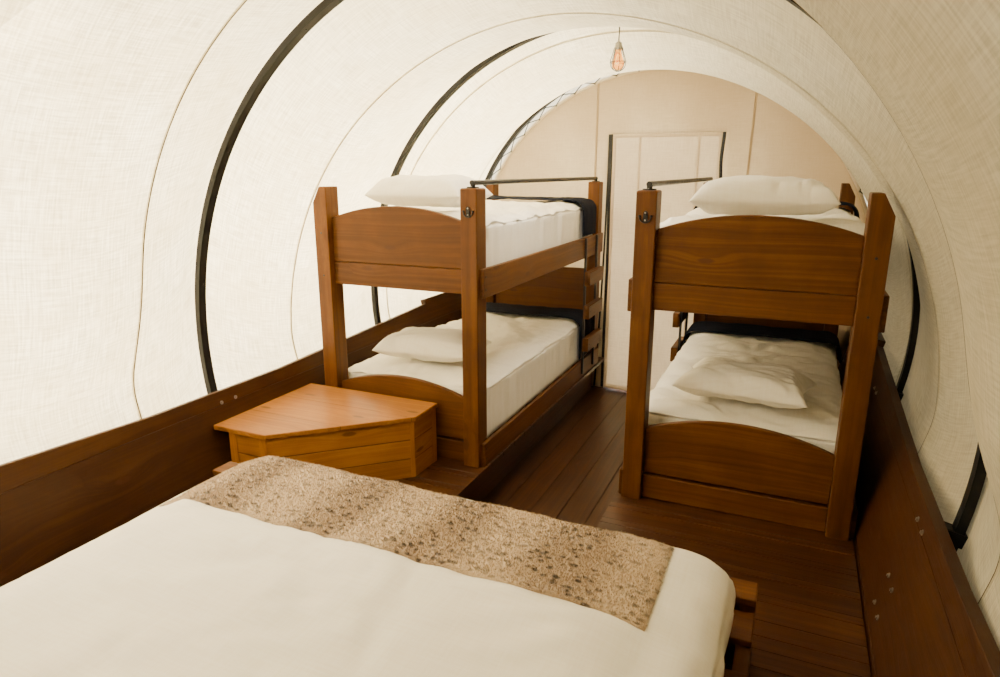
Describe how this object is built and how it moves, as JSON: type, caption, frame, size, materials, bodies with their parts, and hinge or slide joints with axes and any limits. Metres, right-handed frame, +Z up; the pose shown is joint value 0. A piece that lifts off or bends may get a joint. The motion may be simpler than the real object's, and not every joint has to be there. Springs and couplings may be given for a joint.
{
  "type": "covered wagon body with built-in beds",
  "caption": "Covered wagon body: flared plank box on sills, steel bows, canvas cover with laced ends, bunk beds, a wide bed, a corner table and a pendant lamp inside.",
  "frame": {"origin": "middle of the underside of the long sills", "axes": "+X right across the body, +Y along the body to the end with the door, +Z up"},
  "size_m": [2.9234, 5.4, 2.6136],
  "materials": {
    "frame_wood": "matt stained softwood",
    "floor_wood": "satin stained softwood",
    "bunk_wood": "satin stained softwood",
    "table_wood": "satin varnished softwood",
    "black_steel": "satin black paint",
    "canvas": "woven canvas",
    "zip": "woven tape",
    "white_bedding": "cotton",
    "dark_throw": "fleece",
    "fur": "short pile",
    "flex": "matt",
    "socket": "dull",
    "bulb": "clear amber"
  },
  "bodies": {
    "root": {"long_sills": "frame_wood", "cross_sills": "frame_wood", "floor_deck": "floor_wood", "platforms": "floor_wood", "platform_framing": "floor_wood", "left_side_planks": "bunk_wood", "right_side_planks": "bunk_wood", "left_top_plank": "bunk_wood", "right_top_plank": "bunk_wood", "near_end_boards": "bunk_wood", "far_end_boards": "bunk_wood", "bow_1": "black_steel", "bow_2": "black_steel", "bow_3": "black_steel", "bow_4": "black_steel", "bow_5": "black_steel", "bow_clamps": "black_steel", "cover": "canvas", "near_end_wall": "canvas", "far_end_wall": "canvas", "door_flap": "canvas", "door_zips": "zip", "end_lacing": "zip", "left_bunk_posts": "bunk_wood", "left_bunk_ends": "bunk_wood", "left_bunk_rails": "bunk_wood", "left_bunk_slats": "bunk_wood", "left_ladder_rungs": "bunk_wood", "left_bunk_ironwork": "black_steel", "left_upper_bedding": "white_bedding", "left_lower_bedding": "white_bedding", "left_bunk_pillows": "white_bedding", "left_bunk_throws": "dark_throw", "right_bunk_posts": "bunk_wood", "right_bunk_ends": "bunk_wood", "right_bunk_rails": "bunk_wood", "right_bunk_slats": "bunk_wood", "right_ladder_rungs": "bunk_wood", "right_bunk_ironwork": "black_steel", "right_upper_bedding": "white_bedding", "right_lower_bedding": "white_bedding", "right_bunk_pillows": "white_bedding", "right_bunk_throws": "dark_throw", "bed_box": "bunk_wood", "bed_slats": "bunk_wood", "bed_bedding": "white_bedding", "bed_runner": "fur", "table_base": "table_wood", "table_top": "table_wood", "lamp_cord": "flex", "lamp_socket": "socket", "lamp_bulb": "bulb"}
  },
  "joints": []
}
